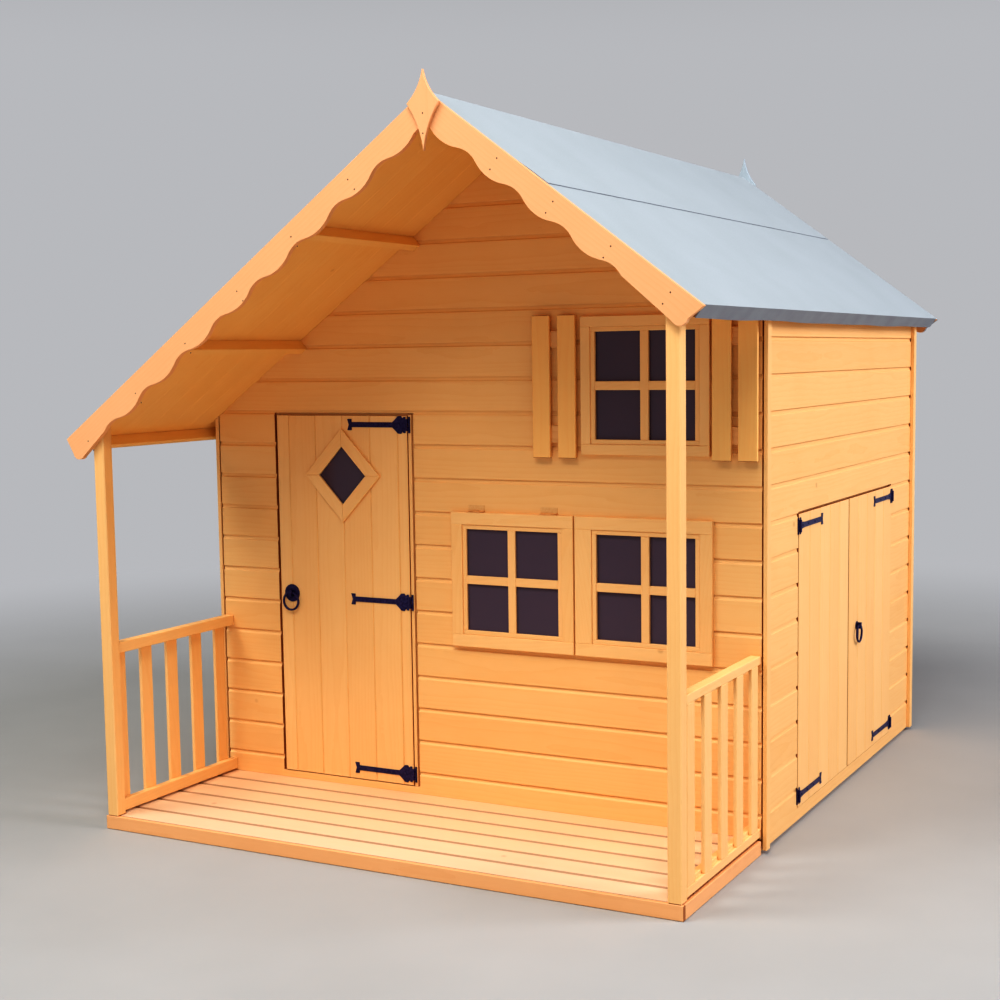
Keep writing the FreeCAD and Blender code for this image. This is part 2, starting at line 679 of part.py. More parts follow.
# Flap hinges on the sash's top edge: the wall plate holds the pin, the sash leaf turns on it
flap_w = 60
flap_t = 1.5
flap_h = 16
flap_in = 4                         # from the end of the glazing
barrel_r = 2.8
flap_pin_r = 1.4
bore_gap = 0.05                     # running fit of every pin and spindle
end_gap = 0.3
knuckle_count = 3
knuckle_sides = 8
flap_y = -barrel_r - face_gap
flap_z = sash_top + flap_t + barrel_r
flap_knuckle = flap_w / knuckle_count
fixed_flaps = []
moving_flaps = []
for x0 in [casement_pane_x + flap_in, casement_pane_x + pane_w - flap_w - flap_in]:
    x1 = x0 + flap_w
    m0 = x0 + flap_knuckle
    m1 = x1 - flap_knuckle
    plate_z = flap_z + barrel_r + end_gap
    fixed = [rod(V(x0, flap_y, flap_z), AXIS_X, flap_pin_r, flap_w),
             box(x0, x1, -flap_t, 0, plate_z, plate_z + flap_h)]
    moving = [box(x0, x1, sash_front, flap_y, sash_top, sash_top + flap_t),
              forged(V(m0 + end_gap, flap_y, flap_z), AXIS_X, barrel_r, m1 - m0 - 2 * end_gap,
                     knuckle_sides),
              box(m0 + end_gap, m1 - end_gap, flap_y - barrel_r, flap_y, sash_top, flap_z)]
    room = [rod(V(x0 - past, flap_y, flap_z), AXIS_X, flap_pin_r + bore_gap, flap_w + 2 * past)]
    for e0, e1 in [(x0, m0), (m1, x1)]:
        fixed.append(forged(V(e0, flap_y, flap_z), AXIS_X, barrel_r, e1 - e0, knuckle_sides))
        fixed.append(box(e0, e1, flap_y + flap_pin_r, 0, flap_z, plate_z))
        room.append(rod(V(e0 - end_gap, flap_y, flap_z), AXIS_X, barrel_r + end_gap, e1 - e0 + 2 * end_gap))
    fixed_flaps.append(joined(fixed))
    moving_flaps += minus([joined(moving)], room)
save("casement_hinge_fixed", fixed_flaps)
save("casement_hinge_moving", moving_flaps)

# Door leaves: upright planks with chamfered edges on ledges
chamfer = 2.5
leaf_proud = 2
ledge_t = 18
ledge_w = 70
ledge_in = 10                       # the ledges clear the stops by this much
leaf_front = -leaf_proud
leaf_back = board_t - leaf_proud


def planks(edges, z0, z1):
    """Planks between neighbouring edges, chamfered on the outer face."""
    out = []
    for a, b in zip(edges, edges[1:]):
        pts = [(a, leaf_back), (b, leaf_back), (b, leaf_front + chamfer), (b - chamfer, leaf_front),
               (a + chamfer, leaf_front), (a, leaf_front + chamfer)]
        out.append(prism_xy(pts, z0, z1))
    return out


# Tee hinge: cross bar and head by the axis, slim strap, forked tip; the axis stands off the door
strap_w = 17
strap_t = 2.5
tip_w = 17
tip_h = 38
fork_d = 6
cross_at = 6
cross_w = 8
cross_h = 54
front_strap_l = 238                 # lengths from the axis
store_strap_l = 258
head_round = [(17, 22), (24, 30), (36, 29), (47, 18)]      # spade head of the front door's straps
head_slim = [(18, 12), (28, 11)]                           # the store doors' straps only flare
head_tip = 58
plate_w = 11
knuckle_r = 4.5
hinge_pin_r = 2.5
hinge_h = 40
axis_off = knuckle_r + face_gap
knuckle_h = hinge_h / knuckle_count


def strap_edge(length, head):
    """Upper half of a strap's outline, (distance from the axis, height)."""
    return ([(cross_at, cross_h / 2), (cross_at + cross_w, cross_h / 2)] + head
            + [(head_tip, strap_w / 2), (length - tip_w, strap_w / 2), (length - tip_w, tip_h / 2),
               (length, tip_h / 2)])


def tee_hinge(hand, length, head):
    """(strap, wall plate) with the axis on the z axis; hand -1 lays the strap towards -x."""
    def flat(x0, x1, z0, z1):
        a, b = sorted([hand * x0, hand * x1])
        return box(a, b, axis_off - strap_t, axis_off, z0, z1)

    upper = [(hand * x, z) for x, z in strap_edge(length, head)]
    lower = [(x, -z) for x, z in reversed(upper)]
    strap = prism_xz(upper + [(hand * (length - fork_d), 0)] + lower, axis_off - strap_t, axis_off)
    half = knuckle_h / 2
    free = half - end_gap
    barrel = forged(V(0, 0, -free), AXIS_Z, knuckle_r, 2 * free, knuckle_sides)
    strap = joined([strap, barrel, flat(0, cross_at, -free, free)])
    strap = strap.cut(rod(V(0, 0, -hinge_h), AXIS_Z, hinge_pin_r + bore_gap, 2 * hinge_h))
    plate = [rod(V(0, 0, -hinge_h / 2), AXIS_Z, hinge_pin_r, hinge_h),
             flat(-plate_w, -knuckle_r - end_gap, -cross_h / 2, cross_h / 2)]
    for z0, z1 in [(-hinge_h / 2, -half), (half, hinge_h / 2)]:
        plate.append(forged(V(0, 0, z0), AXIS_Z, knuckle_r, z1 - z0, knuckle_sides))
        plate.append(flat(-plate_w / 2, 0, z0, z1))
    return strap, joined(plate)


def hinge_packer(axis_x, hand, z):
    """Packing between the wall face and a wall plate that lies level with the door's face."""
    x0, x1 = sorted([axis_x - hand * (knuckle_r + end_gap), axis_x - hand * plate_w])
    return box(x0, x1, -leaf_proud, 0, z - cross_h / 2, z + cross_h / 2)


# Ring latch: a rose on the leaf, a spindle with an inner arm, and a ring that swings on the spindle
rose_r = 31
store_rose_r = 15
rose_t = 3
rose_sides = 16
spindle_r = 6
boss_w = 12
boss_h = 22
boss_out = 15
ring_pin_out = 8
ring_big_r = 31
ring_r = 4
ring_half = 13                      # half length of the ring's straight top
ring_flats = 16
ring_sides = 6
arm_t = 5
arm_w = 14


def ring_bar():
    """Bar bent to a ring in the xz plane about the origin, open at the top for the straight pin."""
    gap = math.asin(ring_half / ring_big_r)
    loops = []
    for i in range(ring_flats + 1):
        turn = gap + i * (2 * math.pi - 2 * gap) / ring_flats
        loop = []
        for j in range(ring_sides):
            s = math.pi * (2 * j + 1) / ring_sides
            r = ring_big_r + ring_r * math.cos(s)
            loop.append(V(r * math.sin(turn), ring_r * math.sin(s), r * math.cos(turn)))
        loops.append(loop)
    faces = [face_of(loops[0]), face_of(loops[-1])]
    for a, b in zip(loops, loops[1:]):
        for j in range(ring_sides):
            faces.append(face_of([a[j - 1], a[j], b[j], b[j - 1]]))
    bar = Part.makeSolid(Part.makeShell(faces))
    if bar.Volume < 0:
        bar.reverse()
    return bar


def ring_latch(radius, arm_out, arm_l):
    """(rose, spindle, ring, bore) round the spindle line; outwards is -y from the leaf's face."""
    rose_face = leaf_front - rose_t
    bore = rod(V(0, rose_face - past, 0), AXIS_Y, spindle_r + bore_gap, arm_out + board_t + 2 * past)
    rose = forged(V(0, rose_face, 0), AXIS_Y, radius, rose_t, rose_sides).cut(bore)
    boss_y1 = rose_face - end_gap
    boss = box(-boss_w / 2, boss_w / 2, rose_face - boss_out, boss_y1, -boss_h / 2, boss_h / 2)
    shaft = rod(V(0, boss_y1 - end_gap, 0), AXIS_Y, spindle_r, arm_out + arm_t - boss_y1 + end_gap)
    arm = box(-arm_w / 2, arm_w / 2, arm_out, arm_out + arm_t, -arm_l, arm_w / 2)
    pin_y = rose_face - ring_pin_out
    pin_hole = rod(V(-boss_w, pin_y, 0), AXIS_X, ring_r + bore_gap, 2 * boss_w)
    pin_l = 2 * ring_half + ring_r
    top_pin = rod(V(-pin_l / 2, pin_y, 0), AXIS_X, ring_r, pin_l)
    bar = ring_bar()
    bar.translate(V(0, pin_y, -math.sqrt(ring_big_r ** 2 - ring_half ** 2)))
    return rose, joined([boss, shaft, arm]).cut(pin_hole), joined([bar, top_pin]), bore


# Front door with a diamond window
first_plank = 50                    # narrow plank on the latch side
plank_count = 6
diamond_right = 3                   # window centre right of the middle of the opening
diamond_down = 210                  # window centre below the head of the opening
diamond_w = 94                      # half width and half height of the glazed opening
diamond_h = 100
bead_share = 1.62                   # outer diamond over inner diamond
glass_share = 1.13
bead_t = 10
latch_in = 53                       # spindle from the edge of the opening
latch_up = 643                      # and above the foot of the opening
arm_l = 72
hinge_low = 42                      # lowest hinge above the foot, highest below the head
hinge_high = 35
jamb_in = 9                         # jamb strip inside the opening, at the hinge edge
jamb_x0 = door_x1 - jamb_in
fd_x0 = door_x0 + door_gap / 2
fd_x1 = jamb_x0 - fit_gap
fd_z0 = door_z0 + fit_gap
fd_z1 = door_z1 - door_gap / 2
full_plank = (door_x1 - fd_x0 - 2 * first_plank) / (plank_count - 2)
fd_edges = [fd_x0] + [fd_x0 + first_plank + i * full_plank for i in range(plank_count - 1)] + [fd_x1]
diamond_x = (door_x0 + door_x1) / 2 + diamond_right
diamond_z = door_z1 - diamond_down


def diamond(share, y0, y1):
    """Diamond prism about the window centre."""
    w = diamond_w * share
    h = diamond_h * share
    return prism_xz([(diamond_x, diamond_z + h), (diamond_x + w, diamond_z), (diamond_x, diamond_z - h),
                     (diamond_x - w, diamond_z)], y0, y1)


latch_place = FreeCAD.Placement(V(door_x0 + latch_in, 0, door_z0 + latch_up), FreeCAD.Rotation())
rose, spindle, ring, bore = turned(ring_latch(rose_r, frame_in + face_gap, arm_l), latch_place)
save("front_latch_rose", [rose])
save("front_latch_spindle", [spindle])
save("front_ring", [ring])
opening = diamond(1, leaf_front - past, leaf_back + past)
glass_seat = diamond(glass_share, leaf_front, leaf_front + glass_t)
save("front_door_planks", minus(planks(fd_edges, fd_z0, fd_z1), [opening, bore, glass_seat]))
save("front_door_glass", [glass_seat])
beading = diamond(bead_share, leaf_front - bead_t, leaf_front).cut(opening)
reach = diamond_h * bead_share
quarters = []
for x0 in [diamond_x - reach, diamond_x]:
    for z0 in [diamond_z - reach, diamond_z]:
        quarters.append(beading.common(box(x0, x0 + reach, leaf_front - bead_t, leaf_front, z0, z0 + reach)))
save("front_door_beading", quarters)

hinge_z = [door_z0 + hinge_low, (door_z0 + door_z1) / 2, door_z1 - hinge_high]
ledge_x0 = door_x0 + latch_in + 2 * arm_w
ledge_x1 = door_x1 - stop - ledge_in
ledge_z = [hinge_z[0] - ledge_w / 2, hinge_z[1] - ledge_w / 2, fd_z1 - stop - ledge_in - ledge_w]
save("front_door_ledges", [box(ledge_x0, ledge_x1, leaf_back, leaf_back + ledge_t, z, z + ledge_w)
                           for z in ledge_z])
fd_axis_x = (fd_x1 + jamb_x0) / 2
straps = []
plates = []
for z in hinge_z:
    place = FreeCAD.Placement(V(fd_axis_x, leaf_front - axis_off, z), FreeCAD.Rotation())
    strap, plate = turned(tee_hinge(-1, front_strap_l, head_round), place)
    straps.append(strap)
    plates += [plate, hinge_packer(fd_axis_x, -1, z)]
save("front_door_straps", straps)
save("front_hinge_plates", plates)
save("front_door_jamb", [box(jamb_x0, door_x1 + jamb_to, 0, board_t, door_z0, door_z1)])

# Store doors in the right wall, drawn facing -y and then turned to face +x
store_planks = 5
store_head_gap = 6
meeting_gap = 10
store_hinge_low = 41
store_hinge_high = 45
store_latch_back = 16.1           # spindle from the outer edge of the far leaf's first plank
store_latch_up = 497
store_arm_l = 150
st_z0 = store_z0 + fit_gap
st_z1 = store_z1 - store_head_gap
st_mid = (store_y0 + store_y1) / 2
store_plank = (store_y1 - fit_gap - st_mid - meeting_gap / 2) / store_planks
latch_u = st_mid + meeting_gap / 2 + store_plank - store_latch_back
latch_place = FreeCAD.Placement(V(latch_u, 0, store_z0 + store_latch_up), FreeCAD.Rotation())
store_arm_out = leaf_back + ledge_t + fit_gap
rose, spindle, ring, bore = turned(ring_latch(store_rose_r, store_arm_out, store_arm_l), latch_place)
save("store_latch_rose", turned([rose], right_place))
save("store_latch_spindle", turned([spindle], right_place))
save("store_ring", turned([ring], right_place))
plates = []
for leaf, u0, u1, hand in [("near", store_y0 + fit_gap, st_mid - meeting_gap / 2, 1),
                           ("far", st_mid + meeting_gap / 2, store_y1 - fit_gap, -1)]:
    edges = [u0 + store_plank * i for i in range(store_planks)] + [u1]
    leaf_planks = minus(planks(edges, st_z0, st_z1), [bore])
    ledges = [box(u0 + stop + ledge_in, u1 - stop - ledge_in, leaf_back, leaf_back + ledge_t, z, z + ledge_w)
              for z in [st_z0 + stop + ledge_in, st_z1 - stop - ledge_in - ledge_w]]
    axis_u = u0 - fit_gap / 2 if hand > 0 else u1 + fit_gap / 2
    straps = []
    for z in [store_z0 + store_hinge_low, store_z1 - store_hinge_high]:
        place = FreeCAD.Placement(V(axis_u, leaf_front - axis_off, z), FreeCAD.Rotation())
        strap, plate = turned(tee_hinge(hand, store_strap_l, head_slim), place)
        straps.append(strap)
        plates += [plate, hinge_packer(axis_u, hand, z)]
    save("store_" + leaf + "_planks", turned(leaf_planks, right_place))
    save("store_" + leaf + "_ledges", turned(ledges, right_place))
    save("store_" + leaf + "_straps", turned(straps, right_place))
save("store_hinge_plates", turned(plates, right_place))
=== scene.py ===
# Garden playhouse: the looks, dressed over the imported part.
import json
import math
import random

import bmesh
import bpy
from mathutils import Matrix, Vector, noise

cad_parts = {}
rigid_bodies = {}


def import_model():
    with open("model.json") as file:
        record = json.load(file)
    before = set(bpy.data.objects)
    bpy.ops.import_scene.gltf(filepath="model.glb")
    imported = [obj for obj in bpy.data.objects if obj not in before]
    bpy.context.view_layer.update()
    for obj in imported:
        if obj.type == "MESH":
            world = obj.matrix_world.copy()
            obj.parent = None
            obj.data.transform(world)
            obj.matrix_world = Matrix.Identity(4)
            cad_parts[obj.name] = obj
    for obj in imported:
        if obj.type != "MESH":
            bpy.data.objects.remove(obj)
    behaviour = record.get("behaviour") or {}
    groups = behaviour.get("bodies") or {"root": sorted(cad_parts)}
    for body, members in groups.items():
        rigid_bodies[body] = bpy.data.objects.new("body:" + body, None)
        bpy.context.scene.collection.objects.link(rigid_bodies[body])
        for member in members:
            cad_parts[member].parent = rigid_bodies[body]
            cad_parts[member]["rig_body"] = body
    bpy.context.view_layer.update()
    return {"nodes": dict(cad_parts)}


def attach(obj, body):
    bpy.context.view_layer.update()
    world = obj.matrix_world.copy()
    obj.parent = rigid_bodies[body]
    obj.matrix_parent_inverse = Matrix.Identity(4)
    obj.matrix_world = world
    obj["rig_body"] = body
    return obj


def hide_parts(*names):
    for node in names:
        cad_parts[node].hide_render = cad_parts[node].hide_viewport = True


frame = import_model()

# Base: five sawn bearers lie on the ground and carry the floor boards.
# Sawn spruce, dipped in a thin orange preservative stain; nailed through the boards from above.
MM = 0.001


def linear(hex_code):
    """Linear colour with alpha from an sRGB hex value."""
    parts = [int(hex_code[i:i + 2], 16) / 255 for i in (1, 3, 5)]
    return [c / 12.92 if c <= 0.04045 else ((c + 0.055) / 1.055) ** 2.4 for c in parts] + [1.0]


def add_node(tree, kind, inputs=None, **settings):
    """New node with its settings; an input given as a socket is linked, anything else is its value."""
    node = tree.nodes.new(kind)
    for key, value in settings.items():
        setattr(node, key, value)
    for key, value in (inputs or {}).items():
        if isinstance(value, bpy.types.NodeSocket):
            tree.links.new(value, node.inputs[key])
        else:
            node.inputs[key].default_value = value
    return node


def new_material(name):
    """Material with an empty node tree, and that tree."""
    material = bpy.data.materials.new(name)
    material.use_nodes = True
    material.node_tree.nodes.clear()
    return material, material.node_tree


def colour_ramp(tree, factor, stops):
    """Colour ramp with (position, colour) stops."""
    ramp = add_node(tree, "ShaderNodeValToRGB", {"Fac": factor})
    marks = ramp.color_ramp.elements
    while len(marks) < len(stops):
        marks.new(1.0)
    for mark, (position, colour) in zip(marks, stops):
        mark.position = position
        mark.color = colour
    return ramp.outputs["Color"]


def stained_softwood(name, light, dark, ring_mm, figure=0.22, edge=None, board_share=0.3, relief_mm=0.3):
    """Softwood under translucent stain. The stain soaks into the pale spring wood and leaves the summer
    wood lines and knots a little darker. End grain drinks far more of it and dries dark brown; the same dark
    brown is also painted shade on sides that face into gaps. Eased edges are mixed toward the edge colour:
    worn stain and painted highlight where that colour is light, painted shade in the joints where it is dark.
    Real rings stand 2 to 4 mm apart: they are drawn wider so that the render still shows them."""
    material, tree = new_material(name)
    place = add_node(tree, "ShaderNodeAttribute", attribute_name="in_log").outputs["Vector"]
    tone = add_node(tree, "ShaderNodeAttribute", attribute_name="tone").outputs["Fac"]
    edge_wear_and_painted_light = add_node(tree, "ShaderNodeAttribute", attribute_name="edge_wear_and_painted_light").outputs["Fac"]
    end_grain_and_gap_shade = add_node(tree, "ShaderNodeAttribute", attribute_name="end_grain_and_gap_shade").outputs["Fac"]
    slow = add_node(tree, "ShaderNodeMapping", {"Vector": place, "Scale": (1.6, 9, 9)})
    bend = add_node(tree, "ShaderNodeTexNoise", {"Vector": slow.outputs[0], "Scale": 1.0, "Detail": 3.0})
    shift = add_node(tree, "ShaderNodeVectorMath", {0: bend.outputs["Color"], "Scale": 0.035},
                     operation="SCALE")
    warped = add_node(tree, "ShaderNodeVectorMath", {0: place, 1: shift.outputs[0]}, operation="ADD")
    rings = add_node(tree, "ShaderNodeTexWave", {"Vector": warped.outputs[0], "Scale": 0.314 / (ring_mm * MM),
                                                 "Distortion": 0.6, "Detail": 2.0, "Detail Scale": 1.5},
                     wave_type="RINGS", rings_direction="X", wave_profile="SAW")
    summer = add_node(tree, "ShaderNodeMath", {0: rings.outputs["Fac"], 1: 2.6}, operation="POWER")
    fine = add_node(tree, "ShaderNodeMapping", {"Vector": place, "Scale": (14, 420, 420)})
    fibre = add_node(tree, "ShaderNodeTexNoise", {"Vector": fine.outputs[0], "Scale": 1.0, "Detail": 2.0})
    soak = add_node(tree, "ShaderNodeTexNoise", {"Vector": place, "Scale": 5.0, "Detail": 4.0})
    line = add_node(tree, "ShaderNodeMath", {0: summer.outputs[0], 1: figure}, operation="MULTIPLY")
    for share, field in [(0.25, fibre.outputs["Fac"]), (0.35, soak.outputs["Fac"]), (board_share, tone)]:
        line = add_node(tree, "ShaderNodeMath", {0: field, 1: share, 2: line.outputs[0]},
                        operation="MULTIPLY_ADD")
    depth = add_node(tree, "ShaderNodeMapRange", {"Value": line.outputs[0], "From Min": 0.25,
                                                  "From Max": 0.45 + figure + board_share})
    body = colour_ramp(tree, depth.outputs[0], [(0.0, linear(light)), (1.0, linear(dark))])
    cells = add_node(tree, "ShaderNodeTexVoronoi", {"Vector": warped.outputs[0], "Scale": 7.0})
    chance = add_node(tree, "ShaderNodeSeparateColor", {"Color": cells.outputs["Color"]})
    rare = add_node(tree, "ShaderNodeMath", {0: chance.outputs[0], 1: 0.92}, operation="GREATER_THAN")
    near = add_node(tree, "ShaderNodeMapRange", {"Value": cells.outputs["Distance"], "From Min": 0.04,
                                                 "From Max": 0.09, "To Min": 0.3, "To Max": 0.0})
    spot = add_node(tree, "ShaderNodeMath", {0: rare.outputs[0], 1: near.outputs[0]}, operation="MULTIPLY")
    coat = add_node(tree, "ShaderNodeMix", {"Factor": spot.outputs[0], 6: body, 7: linear("#B06A32")},
                    data_type="RGBA")
    # Eased edges: worn stain and painted highlight when light, painted shade in joints when dark. Dark brown:
    # end grain, plus painted shade on gap sides.
    for share, cover, field in [(0.6, edge or light, edge_wear_and_painted_light), (1.0, "#A9693A", end_grain_and_gap_shade)]:
        edge_and_gap_share = add_node(tree, "ShaderNodeMath", {0: field, 1: share}, operation="MULTIPLY")
        coat = add_node(tree, "ShaderNodeMix", {"Factor": edge_and_gap_share.outputs[0], 6: coat.outputs[2],
                                                7: linear(cover)}, data_type="RGBA")
    gloss = add_node(tree, "ShaderNodeMapRange", {"Value": fibre.outputs["Fac"], "To Min": 0.52,
                                                  "To Max": 0.68})
    height = add_node(tree, "ShaderNodeMath", {0: fibre.outputs["Fac"], 1: 0.5, 2: summer.outputs[0]},
                      operation="MULTIPLY_ADD")
    relief = add_node(tree, "ShaderNodeBump", {"Height": height.outputs[0], "Strength": 0.35,
                                               "Distance": relief_mm * MM})
    surface = add_node(tree, "ShaderNodeBsdfPrincipled", {"Base Color": coat.outputs[2],
                                                          "Roughness": gloss.outputs[0],
                                                          "Specular IOR Level": 0.5,
                                                          "Normal": relief.outputs[0]})
    add_node(tree, "ShaderNodeOutputMaterial", {"Surface": surface.outputs[0]})
    return material


def closed_solids(node):
    """The CAD node's triangles as corner points, one list for each of its separate solids."""
    mesh = frame["nodes"][node].data
    points = [tuple(round(c, 6) for c in v.co) for v in mesh.vertices]
    solids = []
    faces = []
    open_edges = set()
    for polygon in mesh.polygons:
        corners = [points[i] for i in polygon.vertices]
        faces.append(corners)
        for edge in zip(corners, corners[1:] + corners[:1]):
            if edge[::-1] in open_edges:
                open_edges.remove(edge[::-1])
            else:
                open_edges.add(edge)
        if not open_edges:
            solids.append(faces)
            faces = []
    return solids


def merged(faces):
    """Mesh of one solid with its flat faces whole again."""
    shape = bmesh.new()
    known = {}
    for corners in faces:
        for point in corners:
            if point not in known:
                known[point] = shape.verts.new(point)
        shape.faces.new([known[point] for point in corners])
    bmesh.ops.dissolve_limit(shape, angle_limit=math.radians(0.5), verts=shape.verts, edges=shape.edges)
    return shape


def in_log_frame(shape, along):
    """(along, across, through) directions of a stick, from its longest edge unless one is given."""
    if along is None:
        edge = max(shape.edges, key=lambda e: round(e.calc_length(), 4))
        along = (edge.verts[1].co - edge.verts[0].co).normalized()
    along = Vector(along)
    sides = []
    for edge in shape.edges:
        across = edge.verts[1].co - edge.verts[0].co
        across -= along * across.dot(along)
        sides.append(across)
    across = max(sides, key=lambda s: round(s.length, 4)).normalized()
    return along, across, along.cross(across)


def reach(node, axis, pick):
    """Furthest coordinate of a CAD node along an axis."""
    return pick(vert.co[axis] for vert in frame["nodes"][node].data.vertices)


def dressed(node, material, ease_mm, along=None, sealed_ends=False, painted_shade_sides=None, painted_light_ramp=None,
            cover=None):
    """Stands for a timber node: the same sticks with eased edges, each cut from its own place in a log.
    Sealed ends take no dark end grain. The sides that face across a stick can be painted dark as painted
    shade in the gaps, on all sticks or only on the node's outer edges. A tone ramp is (direction, rise per
    metre, level) of the tone: painted light that changes with place. A cover is another material with a test
    for the faces that it lies on."""
    rng = random.Random(node + "0")
    sharp_angle = math.radians(25)
    facing_end = 0.6
    facing_side = 0.9
    outer_edges = [(axis, reach(node, axis, pick)) for axis in (0, 1) for pick in (min, max)]
    whole = bmesh.new()
    place = whole.verts.layers.float_vector.new("in_log")
    tone = whole.verts.layers.float.new("tone")
    edge_wear_and_painted_light = whole.faces.layers.float.new("edge_wear_and_painted_light")
    end_grain_and_gap_shade = whole.faces.layers.float.new("end_grain_and_gap_shade")
    for faces in closed_solids(node):
        stick = merged(faces)
        directions = in_log_frame(stick, along)
        sharp = [e for e in stick.edges if e.calc_face_angle(0) > sharp_angle]
        made = bmesh.ops.bevel(stick, geom=sharp, offset=ease_mm * MM, segments=1, affect="EDGES",
                               clamp_overlap=True)
        eased = set(made["faces"])
        pith = Vector((rng.uniform(0, 9), rng.uniform(-0.05, 0.05), rng.uniform(0.03, 0.09)))
        shade = rng.random()
        middle = sum((v.co for v in stick.verts), Vector()) / len(stick.verts)
        # Tone that changes with place is painted light: paler where more light falls.
        if painted_light_ramp:
            way, rise, level = painted_light_ramp
            shade = min(1, max(0, middle.dot(Vector(way)) * rise + level + 0.2 * shade))
        copies = {}
        for vert in stick.verts:
            new = whole.verts.new(vert.co)
            new[place] = Vector([(vert.co - middle).dot(d) for d in directions]) + pith
            new[tone] = shade
            copies[vert] = new
        stick.normal_update()
        for face in stick.faces:
            new_face = whole.faces.new([copies[v] for v in face.verts])
            new_face[edge_wear_and_painted_light] = 1.0 if face in eased else 0.0
            cut = abs(face.normal.dot(directions[0])) > facing_end and not sealed_ends
            # Sides that face across a stick get the dark brown as painted shade in the gaps between sticks.
            side = painted_shade_sides and abs(face.normal.dot(directions[1])) > facing_side
            if side and painted_shade_sides == "outer":
                spot = face.calc_center_median()
                side = min(abs(spot[axis] - edge) for axis, edge in outer_edges) < 1 * MM
            new_face[end_grain_and_gap_shade] = 1.0 if cut or side else 0.0
            if cover and cover[1](face):
                new_face.material_index = 1
        stick.free()
    mesh = bpy.data.meshes.new(node + "_timber")
    whole.to_mesh(mesh)
    whole.free()
    mesh.materials.append(material)
    if cover:
        mesh.materials.append(cover[0])
    return placed(node + "_timber", mesh, frame["nodes"][node]["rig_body"], [node])


def placed(name, mesh, body, nodes=()):
    """Object for a finished mesh, riding on a body and standing for CAD nodes."""
    piece = bpy.data.objects.new(name, mesh)
    bpy.context.scene.collection.objects.link(piece)
    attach(piece, body)
    if nodes:
        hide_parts(*nodes)
    return piece


ALONG_X = (1, 0, 0)
ALONG_Y = (0, 1, 0)
ALONG_Z = (0, 0, 1)
sawn = stained_softwood("Sawn spruce, orange stain", "#EDBC82", "#DFA568", 11, 0.35, relief_mm=0.6)
dressed("floor_bearers", sawn, 1.0, ALONG_Y)
dressed("house_floor", sawn, 1.0, ALONG_X)

# Wall framing, bunk floor, partition and ladder: 28 mm sticks behind the boards, nailed together.
# The same sawn stock, seen only through the open doors and the open casement.
for node in ["frame_front", "frame_rear", "frame_left", "frame_right", "bunk_joists", "ladder",
             "front_door_ledges", "store_near_ledges", "store_far_ledges"]:
    dressed(node, sawn, 1.0)
dressed("partition_boards", sawn, 1.0, ALONG_Y)
dressed("bunk_boards", sawn, 1.0, ALONG_Y)

# Veranda deck: six planed boards across the front with open joints, and a fascia round their ends.
# Planed redwood, paler towards the front as painted light, with painted shade in the joints: dark brown eased
# edges and dark sides.
deck_wood = stained_softwood("Planed deck board, pale, with painted light and shade", "#E9CCAC", "#F0C497", 12, 0.2, "#93561F", 1.2)
fascia_wood = stained_softwood("Planed fascia board, rain splashed", "#F6BC86", "#EFB078", 10, 0.22)
# Painted light and shade: the tone grows paler towards the front, and the boards' sides are dark as painted
# shade in the joints.
dressed("deck_boards", deck_wood, 5.0, ALONG_X, painted_shade_sides="all", painted_light_ramp=(ALONG_Y, 1.4, 1.65))
dressed("deck_fascias", fascia_wood, 1.5)

# Shiplap cladding: half lapped boards, each with a hollow top edge that throws a shadow line.
# Planed softwood, stained; nailed to every stud. Corner strips cover the ends of the side boards.
clad_wood = stained_softwood("Planed shiplap, orange stain", "#F9C98A", "#F3BB78", 10)
trim_wood = stained_softwood("Planed trim, orange stain", "#F9CB8E", "#F4BF7E", 9)
dressed("cladding_front", clad_wood, 1.0, ALONG_X)
dressed("cladding_rear", clad_wood, 1.0, ALONG_X)
dressed("cladding_left", clad_wood, 1.0, ALONG_Y)
dressed("cladding_right", clad_wood, 1.0, ALONG_Y)
dressed("corner_strips", trim_wood, 1.5, ALONG_Z)

# Veranda posts and balustrades: square posts from deck to roof, two rails and five flat balusters a side.
# Planed all round with eased edges, screwed through the balusters.
dressed("veranda_posts", trim_wood, 3.0, ALONG_Z)
dressed("balustrade_left", trim_wood, 2.0, sealed_ends=True)
dressed("balustrade_right", trim_wood, 2.0, sealed_ends=True)

# Roof: boards laid on purlins, a ridge beam and battens along both eaves.
# Planed on the underside, which shows over the veranda.
soffit_wood = stained_softwood("Planed roof board, orange stain", "#FCCD86", "#F6C075", 10)
dressed("purlins", soffit_wood, 1.5, ALONG_Y)
dressed("eave_battens", soffit_wood, 1.5, ALONG_Y)
dressed("roof_boards_left", soffit_wood, 0.6)
dressed("roof_boards_right", soffit_wood, 0.6)

# Bargeboards and finials: sawn to a wavy lower edge from planed board, nailed to the roof's ends.
# The rear finial stands in the open and has weathered to a pale blue grey.
weathered = stained_softwood("Weathered softwood, silver grey", "#B4BEC4", "#A3AEB5", 9)
barge_wood = stained_softwood("Planed bargeboard, orange stain", "#F8BF8E", "#F1B480", 9)
dressed("bargeboards_front", barge_wood, 1.5, sealed_ends=True)
dressed("finial_front", barge_wood, 1.5, ALONG_Z, sealed_ends=True)
dressed("finial_rear", weathered, 1.5, ALONG_Z, sealed_ends=True)

